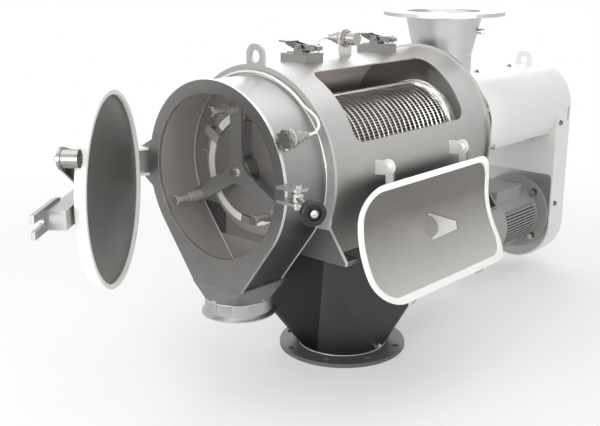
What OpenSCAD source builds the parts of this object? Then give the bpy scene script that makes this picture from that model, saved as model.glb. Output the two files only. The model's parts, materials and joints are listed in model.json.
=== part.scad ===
/* [Housing] */
// Height of the drum axis above the outlet flange face, mm
axis_h = 513; // [480:1:560]
// Outer radius of the sieve housing, mm
shell_r = 220; // [200:1:240]
// Sheet thickness of the sieve housing, mm
shell_t = 4; // [2:0.5:6]
// Half length of the sieve housing, mm
shell_half = 296; // [250:1:340]
// Drop from the drum axis to the seam between housing and hopper, mm
seam_drop = 173; // [160:1:190]
// Thickness of the two end plates, mm
end_t = 8; // [5:1:12]
// Rim of the end plates outside the housing, mm
end_lip = 6; // [4:1:12]
// Height of the hole in the lifting lug above the housing, mm
lug_up = 23; // [18:1:30]
// Radius of the hole in the lifting lug, mm
lug_hole_r = 14; // [8:0.5:16]
// Reach of the feet outside the housing, mm
foot_out = 36; // [25:1:45]
// Radius of the holes in the feet, mm
foot_hole_r = 7; // [5:0.5:9]

/* [Pipe flanges] */
// Outer radius of the inlet and outlet flanges, mm
fl_r = 160; // [150:1:170]
// Thickness of the flanges, mm
fl_t = 10; // [8:1:16]
// Distance of the flange holes from the flange rim, mm
fl_edge = 20; // [14:1:26]
// Radius of each flange hole, mm
fl_hole_r = 9; // [7:0.5:11]
// Inner radius of the product outlet, mm
out_r = 108; // [95:1:110]
// Top of the inlet flange above the drum axis, mm
inlet_rise = 305; // [285:1:330]
// Distance of the inlet pipe behind the housing, mm
inlet_back = 115.5; // [110:0.5:125]
// Outer radius of the inlet pipe, mm
neck_r = 77; // [70:1:85]
// Height of the inlet cone, mm
cone_h = 103; // [85:1:120]
// Outer radius of the inlet cone under its flange, mm
cone_r = 101; // [90:1:110]

/* [Reject end] */
// Outer radius of the reject chamber, mm
rej_r = 203; // [195:1:205]
// Depth of the reject chamber in front of the housing, mm
rej_l = 138; // [125:1:150]
// Thickness of the door frame plate, mm
frame_t = 8; // [6:1:10]
// Rim of the door frame plate outside the chamber, mm
frame_lip = 3; // [2:1:8]
// Width of the door frame plate round the opening, mm
frame_w = 28; // [22:1:36]
// Drop from the drum axis to the lower end of the reject chute, mm
chute_drop = 243; // [230:1:260]
// Outer radius of the reject pipe, mm
rej_neck_r = 76; // [70:1:80]
// Length of the reject spout with its ferrule, mm
spout_l = 73; // [60:1:90]
// Rim of the reject ferrule outside its pipe, mm
ferrule_lip = 7.5; // [6:0.5:12]

/* [Front door] */
// Angle the front door stands open, degrees
front_open = 52.6; // [0:0.1:110]
// Hinge axis of the front door outside the frame plate, mm
fh_out = 30; // [24:1:40]
// Hinge axis of the front door in front of the frame plate, mm
fh_fwd = 30; // [24:1:36]
// Lap of the door disc over the front opening, mm
disc_lap = 11; // [6:1:14]
// Height of the swing arm above the drum axis, mm
arm_up = 1; // [-4:1:6]
// Side of the square tube of the swing arm, mm
arm_w = 36; // [30:1:45]

/* [Swing bolt] */
// Pin of the swing bolt outside the frame plate, mm
sb_out = 44; // [38:1:52]
// Pin of the swing bolt in front of the frame plate, mm
sb_fwd = 12; // [8:1:18]
// Height of the swing bolt above the drum axis, mm
sb_up = 4; // [0:1:8]
// Radius of the swing bolt and of its pin, mm
sb_r = 6; // [5:0.5:8]
// Angle the swing bolt stands swung out from the door, degrees
sb_open = 56.3; // [0:0.1:80]
// Distance from the pin to the middle of the knob, mm
knob_l = 113; // [90:1:120]
// Radius of the knob, mm
knob_r = 25; // [20:1:32]

/* [Side door] */
// Angle the side door hangs open, degrees
side_open = 209; // [0:1:212]
// Hinge axis of the side door outside the housing, mm
sh_out = 32.6; // [30:0.1:38]
// Height of the hinge axis of the side door above the drum axis, mm
sh_up = 15; // [10:1:22]
// Front edge of the window in the housing, mm
win_y0 = -216; // [-230:1:-200]
// Rear edge of the window in the housing, mm
win_y1 = 201.5; // [190:0.5:215]
// Lower edge of the window as an angle, degrees
win_a0 = 18.2; // [15:0.1:22]
// Upper edge of the window as an angle, degrees
win_a1 = 69.5; // [65:0.1:72]
// Front end of the side door, mm
sd_y0 = -264; // [-275:1:-250]
// Rear end of the side door, mm
sd_y1 = 248; // [235:1:260]
// Corner radius of the side door, mm
sd_corner = 68; // [40:1:80]
// Width of the door gasket, mm
gasket_w = 15; // [10:1:20]
// Place of the front side door hinge, mm
hinge_y0 = -160; // [-175:1:-150]
// Place of the rear side door hinge, mm
hinge_y1 = 128; // [115:1:140]

/* [Sieve basket] */
// Outer radius of the basket rings, mm
cage_r = 131; // [125:1:134]
// Number of rings along the basket
cage_rings = 25; // [15:1:30]
// Number of bars round the basket
cage_bars = 72; // [36:12:84]
// Thickness of the wires of the cage, mm
wire = 4; // [3:0.5:6]

/* [Rotor] */
// Radius of the rotor shaft, mm
shaft_r = 25; // [20:1:30]
// Gap between the paddles and the sieve mesh, mm
paddle_gap = 6.8; // [4:0.1:12]
// Length of one turn of the feed screw, mm
screw_pitch = 85; // [70:1:110]
// Radial running clearance of the shafts, mm
run_fit = 0.06; // [0.03:0.01:0.1]

/* [Drive] */
// Distance of the drive cover outside the feed screw, mm
cover_gap = 13; // [10:1:20]
// Length of the feed housing in front of the drive cover, mm
feed_l = 182; // [170:1:200]
// Length of the drive cover, mm
cover_l = 380; // [340:1:420]
// Depth of the belt guard, mm
guard_d = 84; // [78:1:100]
// Drop from the motor axis to the centre of the round end of the belt guard, mm
guard_drop = 27; // [20:1:35]
// Drop from the drum axis to the motor axis, mm
motor_drop = 335; // [310:1:350]
// Radius of the motor flange, mm
motor_fl_r = 118; // [100:1:125]
// Radius of the finned motor frame at the root of the fins, mm
motor_r = 84; // [75:1:90]
// Radius of the fan cowl of the motor, mm
cowl_r = 98; // [90:1:105]
// Pitch radius of the pulley on the rotor shaft, mm
pul_big = 90; // [80:1:95]
// Pitch radius of the pulley on the motor shaft, mm
pul_small = 45; // [40:1:60]

/* [Hidden] */
$fn = 64;
eps = 0.01;
seat = 0.2;
// Sheet metal directions of the housing and of the reject chamber
shell_a = 10.75;
rej_a = 37;
out_outer = out_r + 3;
seam_h = axis_h - seam_drop;
end_r = shell_r + end_lip;
lug_z = axis_h + shell_r + lug_up;
foot_x = shell_r + foot_out;
fl_pcr = fl_r - fl_edge;
inlet_top = axis_h + inlet_rise;
inlet_y = shell_half + inlet_back;
cone_z = inlet_top - fl_t - cone_h;
front_y = shell_half + rej_l;
frame_r = rej_r + frame_lip;
open_r = frame_r - frame_w;
disc_r = open_r + disc_lap;
chute_z = axis_h - chute_drop;
rej_z = chute_z - spout_l;
ferrule_r = rej_neck_r + ferrule_lip;
fh_x = -frame_r - fh_out;
fh_y = front_y + fh_fwd;
arm_z = axis_h + arm_up;
sb_x = frame_r + sb_out;
sb_y = front_y + sb_fwd;
sb_z = axis_h + sb_up;
sh_x = shell_r + sh_out;
sh_z = axis_h + sh_up;
mesh_r = cage_r - 1.2 - 2 * wire;
paddle_r = mesh_r - 1 - paddle_gap;
screw_r = paddle_r - 2;
cover_r = screw_r + cover_gap;
cover_y0 = shell_half + feed_l;
guard_y0 = cover_y0 + cover_l;
guard_y1 = guard_y0 + guard_d;
motor_z = axis_h - motor_drop;
guard_z = motor_z - guard_drop;
block_top = axis_h + shell_r + 18;
push_r = cage_r + 9;
front_in = front_y - frame_t;
chute_hw = rej_r * cos(rej_a) - (axis_h - rej_r * sin(rej_a) - chute_z) * tan(rej_a);
frame_hw = frame_r * cos(rej_a) - (axis_h - frame_r * sin(rej_a) - chute_z) * tan(rej_a);
rej_y = -(front_y + shell_half + 1) / 2;
rej_half = (front_y - shell_half - 1) / 2;
basket_bore = cage_r + 5;
steel = [0.72, 0.72, 0.7];
dark = [0.4, 0.4, 0.4];
white = [0.95, 0.95, 0.93];

// An outline in the plane of the axis, drawn out along the machine
module along(y0, y1) {
  translate([0, y1, 0]) rotate([90, 0, 0]) linear_extrude(y1 - y0) children();
}

// A round bar along the machine axis direction
module bar_y(x, z, r, y0, y1) {
  translate([x, y1, z]) rotate([90, 0, 0]) cylinder(r = r, h = y1 - y0);
}

// A flat ring round the machine axis
module ring_y(ro, ri, y0, y1) {
  along(y0, y1) difference() {
    translate([0, axis_h]) circle(ro);
    translate([0, axis_h]) circle(ri);
  }
}

// A round body whose walls leave it on tangents and run down to z0
module drop_2d(r, a, z0) {
  tx = r * cos(a) - 0.03;
  tz = axis_h - r * sin(a);
  bx = tx - (tz - z0) * tan(a);
  difference() {
    translate([0, axis_h]) circle(r);
    translate([-r, z0 - r]) square([2 * r, r]);
  }
  polygon([[-tx, tz], [tx, tz], [bx, z0], [-bx, z0]]);
}

// A rectangle with round corners, centred
module round_rect(w, h, r) {
  square([w - 2 * r, h], center = true);
  square([w, h - 2 * r], center = true);
  for (i = [-1, 1], j = [-1, 1]) {
    translate([i * (w / 2 - r), j * (h / 2 - r)]) circle(r);
  }
}

// A bar with round ends from the origin along x
module link_2d(l, r) {
  circle(r);
  translate([l, 0]) circle(r);
  translate([0, -r]) square([l, 2 * r]);
}

// A hexagonal head or nut along z
module hex(af, h) {
  cylinder(r = af / 2 / cos(30), h = h, $fn = 6);
}

// The welded sieve housing with its window
module shell_cut(r, a0, a1, y0, y1, corner) {
  drum_cut((a0 + a1) / 2, 2 * r * sin((a1 - a0) / 2), y0, y1, corner);
}

// A rounded rectangle pushed through the drum wall along one radius.
module drum_cut(am, w, y0, y1, corner) {
  translate([0, (y0 + y1) / 2, axis_h]) rotate([0, 90 - am, 0]) translate([0, 0, shell_r - 105])
      linear_extrude(140) round_rect(w, y1 - y0, corner);
}

module main_shell() {
  color(steel) difference() {
    along(-shell_half - 1, shell_half) difference() {
      drop_2d(shell_r, shell_a, seam_h);
      drop_2d(shell_r - shell_t, shell_a, seam_h - 1);
    }
    shell_cut(shell_r, win_a0, win_a1, win_y0, win_y1, 26);
  }
}

// Closed end wall with foot gussets, used at both ends
module end_2d(bore_r) {
  difference() {
    union() {
      difference() {
        translate([0, axis_h]) circle(end_r);
        translate([-end_r, seam_h - end_r]) square([2 * end_r, end_r]);
      }
      polygon([[-foot_x, seam_h], [foot_x, seam_h], [foot_x, seam_h + 8], [shell_r - 14, seam_h + 80],
          [14 - shell_r, seam_h + 80], [-foot_x, seam_h + 8]]);
    }
    translate([0, axis_h]) circle(bore_r);
  }
}

module front_end_plate() {
  color(steel) along(-shell_half - 1 - end_t, -shell_half - 1) difference() {
    union() {
      end_2d(basket_bore);
      translate([-25, axis_h + shell_r - 5]) square([50, lug_up + 5]);
      translate([0, lug_z + 2]) circle(25);
    }
    translate([0, lug_z]) circle(lug_hole_r);
  }
}

module rear_end_plate() {
  color(steel) along(shell_half, shell_half + end_t) difference() {
    end_2d(screw_r + 3);
  }
}

module feet() {
  color(steel) for (s = [-1, 1], y = [-shell_half - 1, shell_half - 40]) {
    difference() {
      translate([s * (foot_x - 30.75), y + 20, seam_h + 4]) cube([61.5, 40, 8], center = true);
      translate([s * (foot_x - 24), y + 20, seam_h - 1]) cylinder(r = foot_hole_r, h = 10);
    }
  }
}

module hopper() {
  tx = shell_r * cos(shell_a) - (axis_h - shell_r * sin(shell_a) - seam_h) * tan(shell_a);
  color(dark) difference() {
    hull() {
      translate([-tx, -shell_half - 1, seam_h - 6]) cube([2 * tx, 2 * shell_half + 1, 6 - seat]);
      translate([0, 0, fl_t]) cylinder(r = out_outer, h = 6);
    }
    hull() {
      translate([-tx + 3, -shell_half + 2, seam_h - 6]) cube([2 * tx - 6, 2 * shell_half - 5, 7]);
      translate([0, 0, fl_t - 1]) cylinder(r = out_r, h = 7);
    }
  }
}

// Pipe flange with its circle of holes, face down
module flange(ri) {
  linear_extrude(fl_t) difference() {
    circle(fl_r);
    circle(ri);
    for (i = [0:7]) rotate(22.5 + 45 * i) translate([fl_pcr, 0]) circle(fl_hole_r);
  }
}

module outlet_flange() {
  color(steel) flange(out_r);
}

module reject_chamber() {
  color(steel) {
    difference() {
      along(-front_in, -shell_half - 1 - end_t) difference() {
        drop_2d(rej_r, rej_a, chute_z);
        drop_2d(rej_r - 3, rej_a, chute_z - 1);
      }
    }
    along(-shell_half - 1 - end_t, -shell_half + 2 - end_t) intersection() {
      drop_2d(rej_r - 1, rej_a, chute_z);
      translate([-rej_r, chute_z]) square([2 * rej_r, seam_h - chute_z - seat]);
    }
  }
}

module frame_plate() {
  color(steel) along(-front_y, -front_in) difference() {
    union() {
      drop_2d(frame_r, rej_a, chute_z);
      translate([-frame_r, axis_h]) polygon([[26, -63], [-6, -43], [-24, -31], [-41, -26], [-41, 34],
          [-24, 39], [-6, 49], [26, 65]]);
    }
    translate([0, axis_h]) circle(open_r);
  }
}

// Square to round piece under the reject chamber
module spout_part() {
  hw = frame_hw;
  color(steel) difference() {
    union() {
      hull() {
        translate([-hw, -front_y, chute_z - 3]) cube([2 * hw, 2 * rej_half + 4, 3 - seat]);
        translate([0, rej_y, chute_z - 38]) cylinder(r = rej_neck_r, h = 3);
      }
      translate([0, rej_y, rej_z + 9]) cylinder(r = rej_neck_r, h = chute_z - 30 - rej_z - 9);
    }
    hull() {
      translate([-hw + 3, -front_y + 3, chute_z - 3]) cube([2 * hw - 6, 2 * rej_half - 2, 4]);
      translate([0, rej_y, chute_z - 39]) cylinder(r = rej_neck_r - 3, h = 3);
    }
    translate([0, rej_y, rej_z]) cylinder(r = rej_neck_r - 3, h = chute_z - 30 - rej_z);
  }
}

module ferrule_part() {
  color(steel) translate([0, rej_y, rej_z]) rotate_extrude() polygon([[rej_neck_r - 3, 0],
      [ferrule_r, 0], [ferrule_r, 2.8], [rej_neck_r + 3, 6], [rej_neck_r + 0.4, 9],
      [rej_neck_r - 3, 9]]);
}

feed_r = cover_r + 3;
feed_y1 = cover_y0 + 12;

module feed_housing() {
  color(steel) difference() {
    union() {
      ring_y(feed_r, screw_r + 3, shell_half + end_t, feed_y1 - 8);
      ring_y(feed_r, shaft_r + 12, feed_y1 - 8, feed_y1);
    }
    translate([0, inlet_y, axis_h + 20]) cylinder(r = neck_r - 3, h = feed_r + 12);
    translate([0, 0, axis_h]) rotate([90, 0, 0]) translate([0, 0, -feed_y1 - 1]) difference() {
      cylinder(r = feed_r + 5, h = 23);
      translate([0, 0, -1]) cylinder(r = cover_r - 3.5, h = 30);
    }
  }
}

module inlet_neck_part() {
  color(steel) difference() {
    translate([0, inlet_y, 0]) rotate_extrude() polygon([[neck_r - 3, axis_h + 60],
        [neck_r, axis_h + 60], [neck_r, cone_z], [cone_r, inlet_top - fl_t],
        [cone_r, inlet_top - fl_t + 1], [cone_r - 3, inlet_top - fl_t + 1],
        [cone_r - 3, inlet_top - fl_t], [neck_r - 3, cone_z + 1]]);
    translate([0, shell_half, axis_h]) rotate([-90, 0, 0]) cylinder(r = feed_r + 0.05, h = 250);
  }
}

module inlet_flange_part() {
  color(steel) translate([0, inlet_y, inlet_top - fl_t]) flange(cone_r - 3);
}

// Round threaded bosses for the earth wire
module earth_studs() {
  stud_z = inlet_top - fl_t - 42;
  r1 = neck_r + (stud_z - cone_z) * (cone_r - neck_r) / cone_h;
  color(steel) {
    translate([0, inlet_y, stud_z]) rotate([0, 0, 22]) translate([r1 + 1.9, 0, 0]) rotate([0, 90, 0])
        stud();
    translate([out_outer + 6.3, -14, fl_t + 20]) rotate([0, 90, 0]) stud();
  }
}

module stud() {
  cylinder(r = 7, h = 9);
  cylinder(r = 4, h = 16);
  translate([0, 0, 10]) hex(13, 5);
}

block_y = [-150, 126];

module clamp_blocks_part() {
  color(steel) difference() {
    for (y = block_y) translate([-41, y - 31, block_top - 31]) cube([74, 62, 31]);
    bar_y(0, axis_h, shell_r + 0.05, -300, 300);
  }
}

px = -4;
pz = block_top + 13;
qx = -12.8;
qz = pz + 2;

// Fixed base of the toggle latches on their blocks
module latch_bases_part() {
  color(steel) for (y = block_y) translate([0, y, 0]) {
    translate([-36, -16, block_top]) cube([72, 32, 2.5]);
    for (s = [-1, 1]) {
      translate([0, s * 13.2 + 1.2, 0]) rotate([90, 0, 0]) linear_extrude(2.4)
          polygon([[px - 14, block_top + 2], [px + 14, block_top + 2], [px + 7, pz + 6],
          [px - 7, pz + 6]]);
      translate([px, s * 11.5, pz]) rotate([90, 0, 0]) cylinder(r = 3, h = 7.2, center = true);
      translate([px, s * 15.6, pz]) rotate([90, 0, 0]) cylinder(r = 5, h = 2.4, center = true);
    }
  }
}

module latch_lever(y) {
  color(dark) translate([0, y, 0]) {
    for (s = [-1, 1]) difference() {
      translate([0, s * 9.7 + 1.5, 0]) rotate([90, 0, 0]) linear_extrude(3) polygon([[-46, pz + 8],
          [-22, pz + 10], [px + 6, pz + 6], [px + 6, pz - 5], [px - 10, pz - 6], [-40, pz + 3]]);
      translate([px, 0, pz]) rotate([90, 0, 0]) cylinder(r = 3 + run_fit, h = 40, center = true);
      translate([qx, 0, qz]) rotate([90, 0, 0]) cylinder(r = 2.2 + run_fit, h = 40, center = true);
    }
    translate([0, 11.2, 0]) rotate([90, 0, 0]) linear_extrude(22.4) polygon([[-66, pz + 9],
        [-44, pz + 8], [-24, pz + 10], [-24, pz + 12.5], [-44, pz + 11], [-64, pz + 12]]);
  }
}

module latch_hook(y) {
  color(steel) translate([0, y, 0]) {
    difference() {
      translate([0, 7.6, 0]) rotate([90, 0, 0]) linear_extrude(15.2) polygon([[-17, pz - 2],
          [-17, pz + 4.5], [38, pz + 7], [50, pz + 4], [52, pz - 3], [48, pz - 4.5], [36, pz - 6]]);
      translate([px, 0, pz - 1]) cube([40, 6, 30], center = true);
    }
    translate([qx, 0, qz]) rotate([90, 0, 0]) cylinder(r = 2.2, h = 24, center = true);
    translate([36, 0, pz]) rotate([90, 0, 0]) cylinder(r = 4, h = 22, center = true);
    for (s = [-1, 1]) translate([36, s * 9.6, pz]) rotate([90, 0, 0]) cylinder(r = 8, h = 3, center = true);
  }
}

module latch_lever_a() { latch_lever(block_y[0]); }
module latch_lever_b() { latch_lever(block_y[1]); }
module latch_hook_a() { latch_hook(block_y[0]); }
module latch_hook_b() { latch_hook(block_y[1]); }

hinge_pin = 5;

// Plates on the housing with the hinge bolts of the side door
module side_hinge_part() {
  color(steel) for (y = [hinge_y0, hinge_y1]) {
    difference() {
      along(y - 3, y + 3) {
        polygon([[shell_r - 10, sh_z - 22], [shell_r - 10, sh_z + 11], [shell_r + 10, sh_z + 11],
            [sh_x - 12, sh_z + 12], [sh_x, sh_z - 17]]);
        translate([sh_x, sh_z]) circle(17);
      }
      bar_y(0, axis_h, shell_r + 0.05, y - 10, y + 10);
    }
    bar_y(sh_x, sh_z, hinge_pin, y - 3, y + 18);
    translate([sh_x, y - 3, sh_z]) rotate([90, 0, 0]) hex(16, 6);
    translate([sh_x, y + 17, sh_z]) rotate([90, 0, 0]) hex(16, 7);
  }
}

// Plates on the frame plate with the hinge pin of the front door
module front_hinge_part() {
  color(steel) {
    for (z = [axis_h - 28, axis_h + 30]) translate([0, 0, z]) linear_extrude(6) {
      polygon([[fh_x - 14, -fh_y], [fh_x - 14, -front_y - seat], [-frame_r - 4, -front_y - seat],
          [fh_x + 12, -fh_y - 8]]);
      translate([fh_x, -fh_y]) circle(14);
    }
    translate([fh_x, -fh_y, axis_h - 33]) cylinder(r = 8, h = 72);
    translate([fh_x, -fh_y, axis_h + 36]) cylinder(r = 11, h = 5);
    translate([fh_x, -fh_y, axis_h - 35]) cylinder(r = 10.5, h = 5);
  }
}

// Two ears with a pin for the swing bolt
module bolt_clevis() {
  color(steel) difference() {
    union() {
      for (z = [sb_z - 17, sb_z + 11]) translate([0, 0, z]) linear_extrude(6) {
        polygon([[frame_r - 10, -front_y + 4], [frame_r - 10, -sb_y - 12], [sb_x, -sb_y - 12],
            [sb_x + 12, -sb_y], [sb_x + 12, -front_y + 6]]);
        translate([sb_x, -sb_y]) circle(12);
      }
      translate([sb_x, -sb_y, sb_z - 22]) cylinder(r = sb_r, h = 42);
      translate([sb_x, -sb_y, sb_z + 17]) hex(19, 8);
      translate([sb_x, -sb_y, sb_z - 24]) cylinder(r = 9, h = 7);
    }
    bar_y(0, axis_h, frame_r + seat, -front_y - 66, -front_y + 34);
  }
}

sen_a = 28;
sen_r = rej_r + 25;
sx = sen_r * cos(sen_a);
sz = axis_h + sen_r * sin(sen_a);

module m30_nut() {
  hex(36, 7);
}

// Round interlock sensor beside the front door
module front_sensor_part() {
  color(steel) {
    bar_y(sx, sz, 15, -front_y + 3, -front_y + 38);
    for (y = [14, 27]) translate([sx, -front_y + y, sz]) rotate([90, 0, 0]) m30_nut();
    bar_y(sx, sz, 12, -front_y + 38, -front_y + 50);
    bar_y(sx, sz, 8, -front_y + 50, -front_y + 68);
  }
}

tsen_y = -2;
tsen_z = block_top + 22;

module top_sensor_part() {
  color(steel) translate([0, tsen_y, tsen_z]) rotate([0, 90, 0]) {
    translate([0, 0, -22]) cylinder(r = 15, h = 58);
    translate([0, 0, 2.4]) m30_nut();
    translate([0, 0, -9.4]) m30_nut();
    translate([0, 0, -34]) cylinder(r = 11, h = 12);
    translate([0, 0, -48]) cylinder(r = 7, h = 14);
  }
}

// Holders of both sensors
module sensor_brackets() {
  color(steel) {
    difference() {
      along(-front_y + 14.3, -front_y + 19.7) translate([0, axis_h]) rotate(sen_a) {
        translate([rej_r - 7, -20]) square([32, 40]);
        translate([sen_r, 0]) circle(20);
      }
      bar_y(0, axis_h, rej_r + 0.05, -front_y + 4, -front_y + 54);
      bar_y(sx, sz, 15.2, -front_y + 4, -front_y + 54);
    }
    difference() {
      translate([-2.1, tsen_y - 22, tsen_z - 58]) cube([4.2, 44, 62]);
      bar_y(0, axis_h, shell_r + 0.05, -100, 100);
      translate([-5, tsen_y, tsen_z]) rotate([0, 90, 0]) cylinder(r = 15.2, h = 10);
    }
    difference() {
      translate([-2.1, tsen_y, tsen_z]) rotate([0, 90, 0]) cylinder(r = 22, h = 4.2);
      translate([-5, tsen_y, tsen_z]) rotate([0, 90, 0]) cylinder(r = 15.2, h = 10);
      translate([-5, tsen_y - 30, tsen_z - 30]) cube([10, 60, 34]);
    }
  }
}

// Small closed terminal box on the far side, where the sensor cables end
module junction_box() {
  color(dark) {
    translate([-shell_r - 43, -195, axis_h - 33]) cube([37, 90, 80]);
    translate([-shell_r - 46, -198, axis_h - 36]) cube([4, 96, 86]);
    for (y = [-178, -122]) translate([-shell_r - 24, y, axis_h + 46]) cylinder(r = 8, h = 13);
  }
  color(steel) difference() {
    for (y = [-185, -115], z = [axis_h - 18, axis_h + 32]) translate([-shell_r - 7, y, z])
        rotate([0, 90, 0]) cylinder(r = 5, h = 12);
    bar_y(0, axis_h, shell_r + seat, -300, 0);
  }
}

cable_r = 3;
// Route of the front sensor cable, round numbers in mm
front_route = [[sx, -365.4, sz], [202, -352, 620.3], [202, -340, 622], [199.5, -329, 626],
    [194.5, -320, 632.5], [187, -314.5, 640.5], [177, -311.5, 648.5], [165.5, -311, 655.5]];
// Angles of the cable round the drum
front_turn = [for (a = [46:7:139]) [211 * cos(a), -311, axis_h + 211 * sin(a)]];
front_end = [[-170, -310, 660], [-182, -305, 665], [-186, -293, 661], [-184, -270, 656],
    [-193, -240, 643], [-207, -205, 622], [-225, -182, 602], [-240, -178, 588], [-244, -178, 572.4]];
top_route = [[-48.7, -2, 773], [-60, -8, 770], [-72, -24, 755], [-80, -44, 732], [-100, -62, 717],
    [-124, -82, 703], [-148, -98, 684], [-172, -110, 660], [-196, -118, 633], [-220, -122, 610],
    [-238, -122, 594], [-244, -122, 572.4]];

function unit(v) = v / norm(v);
function dir_at(p, i) = unit(p[min(i + 1, len(p) - 1)] - p[max(i - 1, 0)]);

// Round cable along a list of points
module cable(p, r) {
  n = 8;
  pts = [for (i = [0:len(p) - 1]) let (t = dir_at(p, i), u = unit(cross(t, [0.31, 0.87, 0.39])),
      w = cross(t, u)) for (k = [0:n - 1]) p[i] + r * (cos(360 * k / n) * u + sin(360 * k / n) * w)];
  m = len(p);
  sides = [for (i = [0:m - 2],
      k = [0:n - 1]) [i * n + k, i * n + (k + 1) % n, (i + 1) * n + (k + 1) % n, (i + 1) * n + k]];
  ends = [[for (k = [n - 1:-1:0]) k], [for (k = [0:n - 1]) (m - 1) * n + k]];
  polyhedron(points = pts, faces = concat(sides, ends), convexity = 4);
}

module front_cable_part() {
  color(white) cable(concat(front_route, front_turn, front_end), cable_r);
}

module top_cable_part() {
  color(white) cable(top_route, cable_r);
}

brg_y = [cover_y0 + 27, cover_y0 + 194];
brg_r = shaft_r + 20;
brg_w = 23;

module bearing_housing() {
  color(dark) difference() {
    union() {
      ring_y(brg_r + 15, brg_r, cover_y0 + 22, cover_y0 + 222);
      ring_y(screw_r, shaft_r + 12, feed_y1 + seat, cover_y0 + 22);
    }
  }
}

module bearings() {
  color(steel) for (y = brg_y) {
    ring_y(brg_r - 0.05, brg_r - 8, y, y + brg_w);
    ring_y(shaft_r + 7, shaft_r + run_fit, y, y + brg_w);
    ring_y(brg_r - 8, shaft_r + 7, y + 4, y + brg_w - 4);
  }
}

module shaft_seal() {
  color(dark) ring_y(shaft_r + 11.9, shaft_r + run_fit, feed_y1 - 8, feed_y1);
}

frame_y0 = cover_y0 + 22 + seat;

module drive_frame() {
  color(dark) difference() {
    union() {
      translate([-80, frame_y0, axis_h - 68]) cube([160, guard_y0 + 2.6 - frame_y0, 8]);
      for (s = [-1, 1]) translate([s * 76 - 4, frame_y0, axis_h - 60.5])
          cube([8, guard_y0 + 2.6 - frame_y0, 50]);
      for (y = [32, 182]) translate([-72.5, cover_y0 + y, axis_h - 60.5]) cube([145, 30, 34]);
    }
    bar_y(0, axis_h, brg_r + 15.1, cover_y0 + 12, cover_y0 + 242);
  }
}

module obround_2d(r) {
  translate([0, axis_h]) circle(r);
  translate([0, guard_z]) circle(r);
  translate([-r, guard_z]) square([2 * r, axis_h - guard_z]);
}

module motor_plate() {
  color(dark) along(guard_y0 + 3, guard_y0 + 11) difference() {
    obround_2d(cover_r - 6);
    translate([0, axis_h]) circle(shaft_r + 6);
    translate([0, motor_z]) circle(60);
  }
}

module drive_cover() {
  color(white) along(cover_y0, guard_y0 - 0.3) difference() {
    translate([0, axis_h]) circle(cover_r);
    translate([0, axis_h]) circle(cover_r - 2.5);
    translate([-200, axis_h - 277]) square([400, 200]);
  }
}

glug_z = axis_h + cover_r + 14;

module belt_guard() {
  color(white) {
    difference() {
      along(guard_y0, guard_y1) obround_2d(cover_r);
      along(guard_y0 + 2.5, guard_y1 - 2.5) obround_2d(cover_r - 2.5);
      along(guard_y0 - 1, guard_y0 + 3) {
        translate([0, axis_h]) circle(cover_r - 14);
        translate([0, guard_z]) circle(cover_r - 6);
        translate([0, guard_z + 70]) round_rect(2 * cover_r - 12, 174, 14);
      }
      translate([cover_r - 5, guard_y1 - 15, axis_h - 42]) cube([10, 5, 42]);
    }
    along(guard_y0, guard_y0 + 2.5) difference() {
      union() {
        translate([-27, glug_z - 52]) square([54, 52]);
        translate([0, glug_z]) circle(27);
      }
      translate([0, glug_z]) circle(11);
      translate([0, axis_h]) circle(cover_r - 1);
    }
  }
}

module screw_head() {
  cylinder(r = 8, h = 1.6);
  translate([0, 0, 1.6]) hex(10, 5);
}

module cover_screws_part() {
  color(steel) {
    for (y = [113, 293]) translate([0, cover_y0 + y, axis_h + cover_r]) screw_head();
    for (z = [guard_z + 65, axis_h - 44]) {
      translate([cover_r, guard_y0 + 22, z]) rotate([0, 90, 0]) screw_head();
      translate([-cover_r, guard_y0 + 22, z]) rotate([0, -90, 0]) screw_head();
    }
    for (s = [-1, 1]) translate([0, cover_y0 + 42, axis_h])
        rotate([0, 90 + s * 60 - 90 + (s > 0 ? 62 : -62), 0]) translate([0, 0, cover_r]) screw_head();
  }
}

module feed_screws_part() {
  color(steel) for (a = [-69:30:261]) if (abs(a - 81) > 20 && abs(a - 111) > 20) {
    translate([0, cover_y0 - 23, axis_h]) rotate([0, 90 - a, 0]) translate([0, 0, feed_r]) screw_head();
  }
}

// Motor
cowl_y1 = guard_y0 - 212;

module motor_frame_part() {
  color(dark) difference() {
    bar_y(0, motor_z, motor_r, cowl_y1 - 10, guard_y0 - 20);
    bar_y(0, motor_z, 52, cowl_y1 + 2, guard_y0 - 32);
    bar_y(0, motor_z, 14 + run_fit, cowl_y1 - 16, guard_y0 - 8);
  }
}

module motor_fins_part() {
  color(dark) along(cowl_y1 + 2, guard_y0 - 30) difference() {
    union() {
      for (i = [-5:5]) translate([-cowl_r + 2, motor_z - 6 + i * 9 - 1.6]) square([2 * cowl_r - 4, 3.2]);
      for (i = [-4:4]) translate([i * 9 - 1.6, motor_z - cowl_r + 2]) square([3.2, cowl_r]);
    }
    translate([0, motor_z]) circle(motor_r);
    translate([0, motor_z]) difference() {
      circle(200);
      circle(cowl_r - 1);
    }
    translate([-62, motor_z + motor_r - 34]) square([124, 60]);
  }
}

module motor_flange() {
  color(dark) difference() {
    union() {
      bar_y(0, motor_z, motor_fl_r, guard_y0 - 9.5, guard_y0 + 2.8);
      translate([0, guard_y0 - 9.5, motor_z]) rotate([90, 0, 0])
          cylinder(r1 = motor_r + 2.4, r2 = motor_r, h = 10.4);
    }
    for (a = [45:90:315]) rotate_motor(a) bar_y(motor_fl_r - 19, motor_z, 7, guard_y0 - 20, guard_y0 + 6);
    bar_y(0, motor_z, 30, guard_y0 - 30, guard_y0 + 6);
  }
}

module rotate_motor(a) {
  translate([0, 0, motor_z]) rotate([0, -a, 0]) translate([0, 0, -motor_z]) children();
}

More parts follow.
